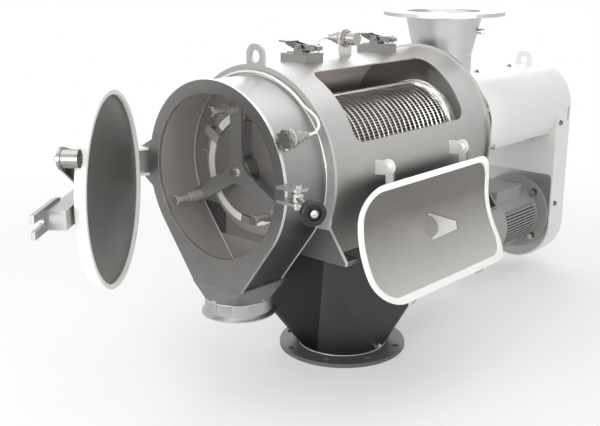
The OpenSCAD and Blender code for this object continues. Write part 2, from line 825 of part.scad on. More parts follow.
module motor_box() {
  color(dark) {
    difference() {
      translate([-56, cowl_y1, motor_z + motor_r - 36]) cube([112, 136, 50]);
      bar_y(0, motor_z, motor_r + 0.1, cowl_y1 - 6, cowl_y1 + 154);
    }
    translate([-60, cowl_y1 - 4, motor_z + motor_r + 14]) cube([120, 144, 7]);
    for (s = [-1, 1], y = [4, 132]) translate([s * 52, cowl_y1 + y, motor_z + motor_r + 21])
        cylinder(r = 5, h = 3);
    for (y = [44, 89]) translate([-56, cowl_y1 + y, motor_z + motor_r]) rotate([0, -90, 0])
        cylinder(r = 10, h = 14);
  }
}

module fan_cowl() {
  color(dark) difference() {
    bar_y(0, motor_z, cowl_r, cowl_y1 - 101, cowl_y1);
    bar_y(0, motor_z, cowl_r - 2, cowl_y1 - 98, cowl_y1 + 1);
    for (r = [24:14:80]) ring_slots(r);
  }
}

module ring_slots(r) {
  for (a = [0:60:300]) rotate_motor(a) translate([0, 0, 0])
      bar_y(r, motor_z, 4.5, cowl_y1 - 106, cowl_y1 - 96);
}

module motor_bolts() {
  color(steel) for (a = [45:90:315]) rotate_motor(a) {
    bar_y(motor_fl_r - 19, motor_z, 12, guard_y0 - 12.2, guard_y0 - 9.7);
    translate([motor_fl_r - 19, guard_y0 - 12.2, motor_z]) rotate([90, 0, 0]) hex(17, 8);
    bar_y(motor_fl_r - 19, motor_z, 5, guard_y0 - 12.2, guard_y0 + 2.8);
  }
}

// Sieve basket
bar_l = 2 * shell_half - 32.4;

module cage_rings_part() {
  color(steel) {
    for (i = [0:cage_rings - 1]) {
      y = -shell_half + 24 + i * (2 * shell_half - 68) / (cage_rings - 1);
      ring_y(cage_r - 0.8, cage_r - 0.8 - wire, y - wire / 2, y + wire / 2);
    }
    translate([-1, -shell_half + 6.2, axis_h + cage_r - 0.7]) cube([12, bar_l, 4]);
  }
}

module cage_bars_part() {
  r0 = cage_r - 0.9 - 2 * wire;
  color(steel) for (i = [0:cage_bars - 1]) {
    translate([0, 0, axis_h]) rotate([0, i * 360 / cage_bars, 0])
        translate([-1, -shell_half + 6.2, r0]) cube([2, bar_l, wire - 0.1]);
  }
}

module basket_mesh() {
  color(steel) ring_y(mesh_r, mesh_r - 1, -shell_half - 16, shell_half - 9);
}

end_y = shell_half + 1 + end_t;

module basket_ends() {
  color(steel) {
    ring_y(push_r + 10, mesh_r + 0.1, -end_y - 8, -end_y - seat);
    ring_y(cage_r, mesh_r + 0.1, -end_y - 8, -shell_half + 6);
    ring_y(cage_r + 1, mesh_r + 0.1, shell_half - 26, shell_half - 8);
    ring_y(cage_r - 3, mesh_r - 9, -end_y - 20, -end_y - 16);
    ring_y(cage_r - 3, mesh_r + 0.1, -end_y - 16, -end_y - 8);
    for (a = [30, 150]) translate([0, 0, axis_h]) rotate([0, -a, 0]) {
      translate([push_r - 34, -end_y - 27.2, -11]) cube([44, 3, 22]);
      translate([push_r + 2, -end_y - 24.4, -11]) cube([8, 16.4, 22]);
    }
    translate([0, -end_y - 14, axis_h]) rotate([0, 90 - 172, 0]) translate([0, 0, cage_r - 4])
        cylinder(r = 2.5, h = 31);
  }
}

module basket_seals() {
  color(white) {
    ring_y(cage_r - 5, cage_r - 22, -end_y - 24, -end_y - 20.1);
    ring_y(cage_r + 3, mesh_r - 1, shell_half - 7.8, shell_half - 0.2);
  }
}

spider_a = [90, 210, 330];

// Three armed holder that keeps the basket in its seat
module spider() {
  color(steel) {
    along(-end_y - 61, -end_y - 53) difference() {
      union() {
        translate([0, axis_h]) circle(54);
        for (a = spider_a) translate([0, axis_h]) rotate(a) link_2d(push_r, 17);
      }
      for (a = spider_a) translate([0, axis_h]) rotate(a + 60) translate([66, 0]) circle(40);
    }
    difference() {
      ring_y(shaft_r + 7, shaft_r - 10 + run_fit, -end_y - 53, -end_y - 21);
    }
    bar_y(0, axis_h, 13, -end_y - 64, -end_y - 61);
    translate([0, -end_y - 64, axis_h]) rotate([90, 0, 0]) hex(17, 9);
    for (a = spider_a) translate([push_r * cos(a), 0, push_r * sin(a)])
        bar_y(0, axis_h, 9, -end_y - 53, -end_y - 8.2);
  }
}

module pushers() {
  color(steel) for (a = spider_a) translate([push_r * cos(a), 0, axis_h + push_r * sin(a)]) {
    bar_y(0, 0, 12, -end_y - 88, -end_y - 61.1);
    translate([0, -end_y - 88, 0]) rotate([90, 0, 0]) hex(19, 10);
    bar_y(0, 0, 6, -end_y - 129, -end_y - 88);
    translate([0, -end_y - 128, 0]) rotate([90, 0, 0]) hex(19, 7.5);
  }
}

// Belt drive
belt_y = [guard_y0 + 30, guard_y0 + 45, guard_y0 + 60];

module belt_loop(ra, rb) {
  d = axis_h - motor_z;
  s = (rb - ra) / d;
  c = sqrt(1 - s * s);
  translate([0, axis_h]) circle(ra);
  translate([0, motor_z]) circle(rb);
  polygon([[ra * c, axis_h + ra * s], [rb * c, motor_z + rb * s], [-rb * c, motor_z + rb * s],
      [-ra * c, axis_h + ra * s]]);
}

module drive_belts() {
  color([0.1, 0.1, 0.1]) for (y = belt_y) along(y - 4.6, y + 4.6) difference() {
    belt_loop(pul_big + 4.5, pul_small + 4.5);
    belt_loop(pul_big - 5.8, pul_small - 5.8);
  }
}

module pulley(rp, bore) {
  rotate([-90, 0, 0]) rotate_extrude() difference() {
    translate([bore, guard_y0 + 22]) square([rp + 5 - bore, 46]);
    for (y = belt_y) polygon([[rp + 6, y - 7], [rp + 6, y + 7], [rp - 6, y + 4.8], [rp - 6, y - 4.8]]);
  }
}

module big_pulley() {
  color(dark) translate([0, 0, axis_h]) pulley(pul_big, shaft_r - 5);
}

module small_pulley() {
  color(dark) translate([0, 0, motor_z]) pulley(pul_small, 14.03);
}

module rotor_shaft() {
  color(steel) {
    bar_y(0, axis_h, shaft_r - 10, -end_y - 45, -shell_half);
    bar_y(0, axis_h, shaft_r, -shell_half, cover_y0 + 222);
    bar_y(0, axis_h, shaft_r + 4.5, shell_half + 9, feed_y1 - 10);
    bar_y(0, axis_h, shaft_r - 5, cover_y0 + 222, guard_y0 + 74);
  }
}

blade_y0 = -shell_half + 2;
blade_y1 = shell_half - 12;

module rotor_paddles() {
  color(steel) difference() {
    union() {
      ring_y(paddle_r - 18, shaft_r, blade_y0, blade_y0 + 4);
      for (y = [blade_y0 + 1, -3, blade_y1 - 15]) ring_y(shaft_r + 15, shaft_r, y, y + 14);
      for (a = [20:90:290]) translate([0, 0, axis_h]) rotate([0, -a, 0]) {
        translate([paddle_r - 34, blade_y0, -3]) cube([34, blade_y1 - blade_y0, 6]);
        for (y = [blade_y0 + 2, -2, blade_y1 - 14]) translate([shaft_r + 10, y, -8])
            cube([paddle_r - shaft_r - 36, 12, 16]);
      }
    }
    bar_y(0, axis_h, shaft_r + 0.02, -shell_half - 4, shell_half + 4);
  }
}

// One steel flight wound round the shaft under the inlet
module feed_screw() {
  y0 = shell_half + 12;
  turns = (feed_y1 - 16 - y0) / screw_pitch;
  n = ceil(turns * 24);
  function at(i, r, o) = [r * cos(i * 15), y0 + i * screw_pitch / 24 + o, axis_h + r * sin(i * 15)];
  pts = [for (i = [0:n]) each [at(i, shaft_r + 4.9, 0), at(i, screw_r, 0), at(i, screw_r, 4), at(i,
      shaft_r + 4.9, 4)]];
  sides = [for (i = [0:n - 1],
      k = [0:3]) let (j = (k + 1) % 4) each [[i * 4 + 4 + k, i * 4 + 4 + j, i * 4 + j],
      [i * 4 + 4 + k, i * 4 + j, i * 4 + k]]];
  color(steel) {
    polyhedron(points = pts, faces = concat(sides, [[0, 1, 2, 3],
        [n * 4 + 3, n * 4 + 2, n * 4 + 1, n * 4]]), convexity = 8);
  }
}

module motor_shaft() {
  color(steel) {
    bar_y(0, motor_z, 14, cowl_y1 - 76, guard_y0 + 74);
    bar_y(0, motor_z, 48, cowl_y1 + 22, guard_y0 - 50);
  }
}

module motor_fan() {
  color([0.1, 0.1, 0.1]) difference() {
    union() {
      bar_y(0, motor_z, 26, cowl_y1 - 61, cowl_y1 - 21);
      bar_y(0, motor_z, cowl_r - 14, cowl_y1 - 28, cowl_y1 - 24);
      for (a = [0:60:300]) rotate_motor(a) translate([20, cowl_y1 - 56, motor_z - 1.5])
          cube([cowl_r - 38, 30, 3]);
    }
    bar_y(0, motor_z, 14, cowl_y1 - 86, cowl_y1 - 6);
  }
}

// Front door, drawn closed and then turned about its hinge
module front_turned() {
  translate([fh_x, -fh_y, 0]) rotate([0, 0, -front_open]) translate([-fh_x, fh_y, 0]) children();
}

arm_y = front_y + 26;
disc_y = front_y + 8;

module door_disc() {
  color(steel) front_turned() {
    bar_y(0, axis_h, disc_r + 3, -disc_y - 3, -disc_y);
    ring_y(120, 110, -disc_y - 12, -disc_y - 3);
    bar_y(0, axis_h, 32, -arm_y + seat, -disc_y - 3);
  }
}

module door_gasket() {
  color(white) front_turned() difference() {
    ring_y(disc_r + 10, disc_r, -disc_y - 14, -front_y - 0.3);
    bar_y(0, axis_h, disc_r + 3.1, -disc_y - 3.1, -disc_y + 0.1);
  }
}

module door_arm() {
  color(steel) front_turned() {
    difference() {
      union() {
        translate([fh_x + 18, -arm_y - arm_w, arm_z - arm_w / 2])
            cube([sb_x - 20 - fh_x - 18, arm_w, arm_w]);
        translate([fh_x, -fh_y, axis_h - 21.4]) cylinder(r = 13, h = 50.8);
        translate([fh_x, -arm_y - 26, arm_z - 16]) cube([24, 26, 32]);
        translate([fh_x - 6, -arm_y - 26, arm_z - 16]) cube([10, 10, 32]);
      }
      translate([fh_x, -fh_y, axis_h - 43]) cylinder(r = 8 + run_fit, h = 90);
    }
    along(-arm_y - arm_w - 8, -arm_y - arm_w) difference() {
      translate([sb_x, sb_z]) polygon([[-100, -14], [-74, -22], [38, -22], [38, 22], [-74, 22],
          [-100, 19]]);
      translate([sb_x, sb_z]) circle(7.5);
      translate([sb_x, sb_z - 7.5]) square([60, 15]);
    }
  }
}

// Coded actuator that faces the front sensor
module door_actuator() {
  color(steel) front_turned() {
    bar_y(sx, sz, 17, -front_y - 42, -front_y - 4);
    bar_y(sx, sz, 4, -front_y - 50, -front_y - 42);
    along(-front_y - 39, -front_y - 35) difference() {
      union() {
        translate([sx, sz]) circle(21);
        polygon([[sx + 14, sz - 15.5], [sx - 4, sz + 20.6], [60, axis_h + 87],
            [40, arm_z + arm_w / 2 + seat], [90, arm_z + arm_w / 2 + seat]]);
      }
      translate([sx, sz]) circle(17 + seat);
    }
  }
}

// Side door, drawn closed and then swung about its hinge line
module side_turned() {
  translate([sh_x, 0, sh_z]) rotate([0, side_open, 0]) translate([-sh_x, 0, -sh_z]) children();
}

sd_a0 = 8.5;
sd_a1 = 78;
panel_r = shell_r + 3.6;
panel_u = panel_r * sin((sd_a1 - sd_a0) / 2 + 0.6) - gasket_w - 0.3;

module side_door() {
  color(steel) side_turned() {
    intersection() {
      ring_y(panel_r + 2.5, panel_r, sd_y0 + 1, sd_y1 - 1);
      drum_cut((sd_a0 + sd_a1) / 2, 2 * panel_u, sd_y0 + gasket_w + 0.3, sd_y1 - gasket_w - 0.3,
          sd_corner - gasket_w - 0.3);
    }
    for (y = [hinge_y0 + 3.4, hinge_y1 + 3.4]) difference() {
      along(y, y + 6) {
        translate([sh_x, sh_z]) circle(14);
        translate([shell_r, sh_z]) polygon([[sh_out + 14, 0], [sh_out - 5, -13], [6, 24], [-13, 64],
            [-30, 112], [-14, 102], [4, 72], [20, 40]]);
      }
      bar_y(0, axis_h, panel_r + 2.5, y - 10, y + 10);
      bar_y(sh_x, sh_z, hinge_pin + run_fit, y - 10, y + 20);
      difference() {
        bar_y(0, axis_h, shell_r + 9.5, y - 10, y + 10);
        along(y - 20, y + 20) translate([0, axis_h]) rotate(sd_a0 + gasket_w / 3) square([300, 300]);
      }
    }
    side_fin();
    for (y = block_y) along(y - 10, y + 10) difference() {
      translate([0, block_top]) polygon([[49.5, -23], [74, -33], [74, -21.5], [54, -13.2], [54, 6],
          [49.5, 6]]);
      translate([0, axis_h]) circle(panel_r + 2.3);
      difference() {
        translate([0, axis_h]) circle(shell_r + 8.1);
        translate([65.8, axis_h + 87]) square([100, 200]);
      }
    }
  }
}

// Fin with an arched foot on the inside of the side door
module side_fin() {
  fy = -8;
  am = (win_a0 + win_a1) / 2;
  along(fy - 3, fy + 3) difference() {
    intersection() {
      translate([0, axis_h]) rotate(am - 1) translate([panel_r, 0]) polygon([[-73.6, -9], [10.4, -37],
          [10.4, 37], [-73.6, 9]]);
      translate([0, axis_h]) circle(panel_r);
    }
    translate([0, axis_h]) rotate(am - 1) translate([panel_r + 2, 0]) circle(25);
  }
}

// Corner points of the door outline: arc length along the drum, place along the machine, outward turn
function corner_arc(x, y, r, a) = [for (t = [0:10:90]) [x + r * cos(a + t), y + r * sin(a + t)]];
function edge_row(x0, x1, y) = [for (i = [1:7]) [x0 + (x1 - x0) * i / 8, y]];
function patch_path(s0, s1, y0, y1, r) = concat(
  corner_arc(s1 - r, y1 - r, r, 0),
  edge_row(s1 - r, s0 + r, y1),
  corner_arc(s0 + r, y1 - r, r, 90),
  corner_arc(s0 + r, y0 + r, r, 180),
  edge_row(s0 + r, s1 - r, y0),
  corner_arc(s1 - r, y0 + r, r, 270)
);
function on_cut(p, r) = let (a = (sd_a0 + sd_a1) / 2 + asin(p[0] / r)) [r * cos(a), p[1],
    axis_h + r * sin(a)];

// Bead gasket round the edge of the side door
module side_gasket() {
  u = panel_u + 0.3;
  outer = patch_path(-u - gasket_w, u + gasket_w, sd_y0, sd_y1, sd_corner);
  inner = patch_path(-u, u, sd_y0 + gasket_w, sd_y1 - gasket_w, sd_corner - gasket_w);
  n = len(outer);
  pts = [for (i = [0:n - 1]) each [on_cut(outer[i], shell_r + 0.4), on_cut(outer[i],
      shell_r + 8), on_cut(inner[i], shell_r + 8), on_cut(inner[i], shell_r + 0.4)]];
  faces = [for (i = [0:n - 1],
      k = [0:3]) let (j = (i + 1) % n) [i * 4 + k, i * 4 + (k + 1) % 4, j * 4 + (k + 1) % 4,
      j * 4 + k]];
  color(white) side_turned() polyhedron(points = pts, faces = faces, convexity = 6);
}

// Swing bolt, drawn pointing forward and then swung out
module bolt_turned() {
  translate([sb_x, -sb_y, sb_z]) rotate([0, 0, sb_open]) children();
}

module swing_bolt() {
  color(steel) bolt_turned() {
    difference() {
      union() {
        translate([0, 0, -8.5]) cylinder(r = 12, h = 17);
        rotate([90, 0, 0]) cylinder(r = sb_r, h = knob_l + 14);
      }
      translate([0, 0, -20]) cylinder(r = sb_r + run_fit, h = 40);
    }
  }
}

module knob_washer() {
  color(steel) bolt_turned() translate([0, -knob_l + 18, 0]) rotate([90, 0, 0]) difference() {
    cylinder(r = 13, h = 2.5);
    translate([0, 0, -1]) cylinder(r = sb_r + 0.1, h = 5);
  }
}

module knob() {
  color([0.05, 0.05, 0.05]) bolt_turned() translate([0, -knob_l + 15.4, 0]) rotate([90, 0, 0])
      difference() {
    union() {
      cylinder(r = 11, h = 30);
      translate([0, 0, 8]) linear_extrude(20) {
        circle(knob_r - 3);
        for (a = [0:60:300]) rotate(a) translate([knob_r - 6.5, 0]) circle(6.5);
      }
    }
    translate([0, 0, -1]) cylinder(r = sb_r + run_fit, h = 40);
  }
}

// Pieces of one finish that are welded or bolted together in one place
module reject_spout() {
  spout_part();
  ferrule_part();
}

module inlet_pipe() {
  inlet_neck_part();
  inlet_flange_part();
}

module latch_bases() {
  clamp_blocks_part();
  latch_bases_part();
}

module hinge_plates() {
  side_hinge_part();
  front_hinge_part();
}

module sensors() {
  front_sensor_part();
  top_sensor_part();
}

module sensor_cables() {
  front_cable_part();
  top_cable_part();
}

module cover_screws() {
  cover_screws_part();
  feed_screws_part();
}

module motor_frame() {
  motor_frame_part();
  motor_fins_part();
}

module basket_cage() {
  cage_rings_part();
  cage_bars_part();
}

main_shell();
front_end_plate();
rear_end_plate();
feet();
hopper();
outlet_flange();
reject_chamber();
frame_plate();
reject_spout();
feed_housing();
inlet_pipe();
earth_studs();
latch_bases();
hinge_plates();
bolt_clevis();
sensors();
sensor_brackets();
junction_box();
sensor_cables();
bearing_housing();
bearings();
shaft_seal();
drive_frame();
motor_plate();
drive_cover();
belt_guard();
cover_screws();
motor_frame();
motor_flange();
motor_box();
fan_cowl();
motor_bolts();
basket_cage();
basket_mesh();
basket_ends();
basket_seals();
spider();
pushers();
drive_belts();
rotor_shaft();
rotor_paddles();
feed_screw();
big_pulley();
motor_shaft();
motor_fan();
small_pulley();
door_arm();
door_disc();
door_gasket();
door_actuator();
side_door();
side_gasket();
swing_bolt();
knob_washer();
knob();
latch_lever_a();
latch_lever_b();
latch_hook_a();
latch_hook_b();
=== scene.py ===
import json
import math

import bmesh
import bpy
from mathutils import Matrix, Vector

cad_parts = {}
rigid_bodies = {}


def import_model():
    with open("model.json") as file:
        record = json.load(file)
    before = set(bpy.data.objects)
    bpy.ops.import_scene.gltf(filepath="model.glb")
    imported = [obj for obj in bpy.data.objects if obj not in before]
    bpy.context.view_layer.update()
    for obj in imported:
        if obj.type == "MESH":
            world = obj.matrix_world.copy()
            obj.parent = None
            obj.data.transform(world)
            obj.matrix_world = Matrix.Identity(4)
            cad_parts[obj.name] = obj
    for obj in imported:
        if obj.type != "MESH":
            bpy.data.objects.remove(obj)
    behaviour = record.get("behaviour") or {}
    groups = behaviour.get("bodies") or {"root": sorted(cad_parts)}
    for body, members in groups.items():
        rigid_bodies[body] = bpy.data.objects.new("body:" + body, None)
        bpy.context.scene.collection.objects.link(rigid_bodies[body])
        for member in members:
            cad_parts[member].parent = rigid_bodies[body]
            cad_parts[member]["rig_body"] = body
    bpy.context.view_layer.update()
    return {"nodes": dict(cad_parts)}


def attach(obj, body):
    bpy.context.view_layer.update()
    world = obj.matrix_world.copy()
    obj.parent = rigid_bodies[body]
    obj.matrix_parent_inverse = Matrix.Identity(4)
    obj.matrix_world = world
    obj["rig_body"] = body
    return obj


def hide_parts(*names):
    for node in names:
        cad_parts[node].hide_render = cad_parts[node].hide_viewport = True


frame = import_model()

nodes = frame["nodes"]


# Camera. The photograph was taken from the front right with a short telephoto lens,
# a little above the drum, and its frame sits a few pixels off the lens axis.
def put(name, data):
    """A new object in the scene."""
    thing = bpy.data.objects.new(name, data)
    bpy.context.scene.collection.objects.link(thing)
    return thing


looks_down, turned_left = 0.2775, 0.7312
camera_data = bpy.data.cameras.new("camera")
camera_data.lens = 56.14
camera_data.shift_x = -0.0035
camera_data.shift_y = 0.0052
camera = put("camera", camera_data)
camera.location = (1.41707, -1.73347, 0.97411)
camera.rotation_euler = (math.pi / 2 - looks_down, 0, turned_left)
bpy.context.scene.camera = camera
bpy.context.scene.view_settings.view_transform = "Standard"


# Studio. A white paper floor that runs on as a white backdrop and keeps the soft shadow. One
# wide softbox hangs overhead, four more stand round the machine, and two weak narrow ones
# reach the inside of the drum through its window.
def linear(hex_colour):
    channels = [int(hex_colour[i:i + 2], 16) / 255 for i in (1, 3, 5)]
    return [c / 12.92 if c <= 0.04045 else ((c + 0.055) / 1.055) ** 2.4 for c in channels] + [1]


def add(material, kind, settings, links=()):
    """Adds one node. Settings go to its sockets or its own fields, links are (input, node, output)."""
    node = material.node_tree.nodes.new(kind)
    for key, value in settings.items():
        if isinstance(key, int) or key in node.inputs:
            node.inputs[key].default_value = value
        else:
            setattr(node, key, value)
    for socket, source, output in links:
        material.node_tree.links.new(node.inputs[socket], source.outputs[output])
    return node


def blank(name):
    material = bpy.data.materials.new(name)
    material.use_nodes = True
    material.node_tree.nodes.clear()
    return material


def seen_as_backdrop(material):
    """1 for what the camera sees, straight or in metal and glass, and 0 for the light on the machine."""
    path = add(material, "ShaderNodeLightPath", {})
    seen_or_gloss = add(material, "ShaderNodeMath", {"operation": "MAXIMUM"},
                        [(0, path, "Is Camera Ray"), (1, path, "Is Glossy Ray")])
    return add(material, "ShaderNodeMath", {"operation": "MAXIMUM"},
               [(0, seen_or_gloss, 0), (1, path, "Is Transmission Ray")])


def softbox(name, place, aim, size, watts, spread=180):
    lamp = bpy.data.lights.new(name, "AREA")
    lamp.spread = math.radians(spread)
    lamp.shape = "RECTANGLE"
    lamp.size, lamp.size_y = size
    lamp.energy = watts
    holder = put(name, lamp)
    holder.location = place
    holder.rotation_euler = (Vector(aim) - Vector(place)).to_track_quat("-Z", "Y").to_euler()


softbox("softbox_top", place=(0.1, -0.1, 2.7), aim=(0, 0.1, 0.4), size=(3.2, 3.2), watts=36)
softbox("softbox_left", place=(-1.9, -2.3, 1.7), aim=(0, 0, 0.5), size=(1.2, 1.8), watts=12)
softbox("softbox_front", place=(0.3, -2.8, 0.8), aim=(0, -0.3, 0.5), size=(1.2, 0.9), watts=28)
softbox("softbox_right", place=(2.1, -1.5, 1.7), aim=(0.1, 0.1, 0.6), size=(1.2, 1.4), watts=15)
softbox("softbox_low", place=(2.2, -0.5, 0.78), aim=(-0.1, 0.05, 0.64), size=(0.5, 0.4), watts=1, spread=22)
softbox("softbox_window", place=(1.2, -0.95, 1.25), aim=(0.04, 0.26, 0.62), size=(0.2, 0.2), watts=0.25,
        spread=10)
softbox("softbox_back", place=(-2.0, 2.8, 1.9), aim=(0, 0.1, 0.7), size=(3.4, 1.6), watts=34)

# Matt paper near the machine, where the shadow falls, that turns to plain white further off.
paper = blank("white_paper_floor")
place = add(paper, "ShaderNodeTexCoord", {})
distance = add(paper, "ShaderNodeVectorMath", {"operation": "DISTANCE", 1: (0, 0.1, 0)},
               [(0, place, "Object")])
far = add(paper, "ShaderNodeMapRange",
          {"interpolation_type": "SMOOTHSTEP", "From Min": 1.0, "From Max": 2.3, "To Min": 0.35},
          [("Value", distance, "Value")])
glow = add(paper, "ShaderNodeMath", {"operation": "MULTIPLY"}, [(0, seen_as_backdrop(paper), 0), (1, far, 0)])
matt = add(paper, "ShaderNodeBsdfDiffuse", {"Color": linear("#f2f2f2")})
white = add(paper, "ShaderNodeEmission", {"Color": (1, 1, 1, 1), "Strength": 1.0})
mixed = add(paper, "ShaderNodeMixShader", {}, [(0, glow, 0), (1, matt, 0), (2, white, 0)])
add(paper, "ShaderNodeOutputMaterial", {}, [("Surface", mixed, 0)])
bpy.ops.mesh.primitive_plane_add(size=80, location=(0, 0, -0.001))
floor = bpy.context.object
floor.name = "floor"
floor.data.materials.append(paper)

world = bpy.data.worlds.new("studio_air")
world.use_nodes = True
world.node_tree.nodes.clear()
bpy.context.scene.world = world
level = add(world, "ShaderNodeMapRange", {"To Min": 0.5, "To Max": 1.0},
            [("Value", seen_as_backdrop(world), 0)])
air = add(world, "ShaderNodeBackground", {"Color": (1, 1, 1, 1)}, [("Strength", level, 0)])
add(world, "ShaderNodeOutputWorld", {}, [("Surface", air, 0)])

# Drum, end plates and bracket plates. Stainless sheet, rolled or cut, welded and then blasted
# with glass beads, which leaves a soft, even grey with faint clouds and no direction.
axis_height = 0.513


def looks_outward(at, out):
    """Above zero where a face looks away from the drum's axis, and below zero where it looks at it."""
    return at.x * out.x + (at.z - axis_height) * out.z


def faces_front(out, share=0.9):
    """Whether a face looks to the front of the machine, which is -Y, by at least that share."""
    return out.y < -share


def dress(material, *names):
    """Gives CAD pieces their material."""
    for name in names:
        for held in nodes[name].material_slots:
            held.material = material


def fit(name, data, body):
    """A new piece of the machine, which moves with a body."""
    piece = put(name, data)
    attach(piece, body)
    return piece


def rounded(name, radius, material, segments=2, rim=None):
    """A copy of a CAD piece with its sharp edges broken to a real radius in metres, and its own rim
    material if it has one. It stands for that piece."""
    source = nodes[name]
    sharp, flat, apart = math.radians(32), math.radians(0.6), 2e-6
    shape = bmesh.new()
    shape.from_mesh(source.data)
    bmesh.ops.remove_doubles(shape, verts=shape.verts, dist=apart)
    bmesh.ops.dissolve_limit(shape, angle_limit=flat, verts=shape.verts, edges=shape.edges)
    edges = [e for e in shape.edges if len(e.link_faces) == 2 and e.calc_face_angle(0) > sharp]
    bmesh.ops.bevel(shape, geom=edges, offset=radius, offset_type="OFFSET", segments=segments, profile=0.5,
                    affect="EDGES", clamp_overlap=True, material=1 if rim else -1)
    mesh = bpy.data.meshes.new(name + "_rounded")
    shape.to_mesh(mesh)
    shape.free()
    mesh.materials.append(material)
    if rim:
        mesh.materials.append(rim)
    mesh.shade_smooth()
    piece = fit(name + "_rounded", mesh, source["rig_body"])
    even = piece.modifiers.new("even_faces", "WEIGHTED_NORMAL")
    even.weight = 90
    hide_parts(name)
    return piece


def recolour(piece, material, chosen):
    """Gives the faces for which chosen(middle, outward) holds another material."""
    piece.data.materials.append(material)
    for face in piece.data.polygons:
        if chosen(face.center, face.normal):
            face.material_index = len(piece.data.materials) - 1


def blasted_steel(name, pale, dull, roughness, low=None):
    """Glass-bead blasted stainless steel, from its paler to its duller patches. It may fade between two
    heights to another tone, which paints light and shade onto the steel: low holds that tone and the heights
    where it starts and is complete."""
    cloud_width, grit_width, grit_depth = 0.11, 0.0016, 0.0002
    steel = blank(name)
    place = add(steel, "ShaderNodeTexCoord", {})
    clouds = add(steel, "ShaderNodeTexNoise", {"Scale": 1 / cloud_width, "Detail": 3.0, "Roughness": 0.6},
                 [("Vector", place, "Object")])
    tone = add(steel, "ShaderNodeMix", {"data_type": "RGBA", 6: linear(pale), 7: linear(dull)},
               [(0, clouds, "Fac")])
    # The height fade is painted light and shade laid over the steel's own tone.
    if low:
        apart = add(steel, "ShaderNodeSeparateXYZ", {}, [(0, place, "Object")])
        low_tone, low_from, low_full = low
        height = add(steel, "ShaderNodeMapRange", {"From Min": low_from, "From Max": low_full},
                     [("Value", apart, "Z")])
        tone = add(steel, "ShaderNodeMix", {"data_type": "RGBA", 7: linear(low_tone)},
                   [(0, height, 0), (6, tone, 2)])
    grit = add(steel, "ShaderNodeTexNoise", {"Scale": 1 / grit_width, "Detail": 1.0},
               [("Vector", place, "Object")])
    dents = add(steel, "ShaderNodeBump", {"Strength": 0.12, "Distance": grit_depth},
                [("Height", grit, "Fac")])
    shine = add(steel, "ShaderNodeMapRange", {"To Min": roughness - 0.05, "To Max": roughness + 0.07},
                [("Value", clouds, "Fac")])
    skin = add(steel, "ShaderNodeBsdfPrincipled", {"Metallic": 1.0},
               [("Base Color", tone, 2), ("Roughness", shine, 0), ("Normal", dents, 0)])
    add(steel, "ShaderNodeOutputMaterial", {}, [("Surface", skin, 0)])
    return steel


def coated(name, colour, roughness, ripple_mm, metallic=0.0):
    """A painted, moulded or dull blasted surface with a faint ripple of the given width."""
    ripple_depth = 0.0001
    coat = blank(name)
    place = add(coat, "ShaderNodeTexCoord", {})
    ripple = add(coat, "ShaderNodeTexNoise", {"Scale": 1000 / ripple_mm, "Detail": 2.0},
                 [("Vector", place, "Object")])
    dents = add(coat, "ShaderNodeBump", {"Strength": 0.2, "Distance": ripple_depth},
                [("Height", ripple, "Fac")])
    tone = add(coat, "ShaderNodeMapRange", {"To Min": roughness - 0.04, "To Max": roughness + 0.04},
               [("Value", ripple, "Fac")])
    skin = add(coat, "ShaderNodeBsdfPrincipled", {"Base Color": linear(colour), "Metallic": metallic},
               [("Roughness", tone, 0), ("Normal", dents, 0)])
    add(coat, "ShaderNodeOutputMaterial", {}, [("Surface", skin, 0)])
    return coat


# The housing is a pale soft grey, and the drum is painted darker from its middle down, a painted shade. Edges
# and weld beads get a paler steel, a painted highlight that shows them as thin light lines. The front of the
# end plate and the inner faces look matt and warmer, and the bracket plates are dark.
housing_steel = blasted_steel("blasted_stainless_steel", "#cbcac9", "#b9b8b7", roughness=0.4)
# Painted shade: the drum's steel darkens from 0.68 m down to 0.4 m.
shell_steel = blasted_steel("blasted_drum_steel_painted_shade", "#cbcac9", "#b9b8b7", roughness=0.4,
                            low=("#85837f", 0.68, 0.4))
# Painted highlight: this paler steel on edges, rims and weld beads makes them show as thin light lines.
edge_steel = blasted_steel("sheet_edge_painted_highlight", "#e0dfdd", "#d2d1cf", roughness=0.34)
end_steel = coated("blasted_end_plate_front", "#a19f9d", roughness=0.45, ripple_mm=30.0, metallic=0.4)
inner_steel = coated("dusty_inner_face", "#b3a9a3", roughness=0.5, ripple_mm=60.0, metallic=0.25)
foot_steel = blasted_steel("blasted_bracket_steel", "#77767a", "#69686b", roughness=0.45)

dress(shell_steel, "rear_end_plate")
shell = rounded("main_shell", 0.0005, shell_steel)
recolour(shell, inner_steel, lambda at, out: looks_outward(at, out) < -0.02)
end_sheet = rounded("front_end_plate", 0.0012, housing_steel, rim=edge_steel)
recolour(end_sheet, end_steel, lambda at, out: faces_front(out))

# The lower corners of the end plate's front are given the brackets' dark steel as painted shade. Its front is
# cut along them.
corner_x, corner_top = 0.1, 0.41
cuts = bmesh.new()
cuts.from_mesh(end_sheet.data)
across, upward = (1, 0, 0), (0, 0, 1)
for point, way in (((corner_x, 0, 0), across), ((-corner_x, 0, 0), across), ((0, 0, corner_top), upward)):
    whole = cuts.verts[:] + cuts.edges[:] + cuts.faces[:]
    bmesh.ops.bisect_plane(cuts, geom=whole, plane_co=point, plane_no=way)
cuts.to_mesh(end_sheet.data)
cuts.free()
# Painted shade: the front faces of the lower corners get the dark bracket steel.
recolour(end_sheet, foot_steel,
         lambda at, out: faces_front(out) and abs(at.x) > corner_x and at.z < corner_top)
rounded("feet", 0.0008, foot_steel, rim=edge_steel)

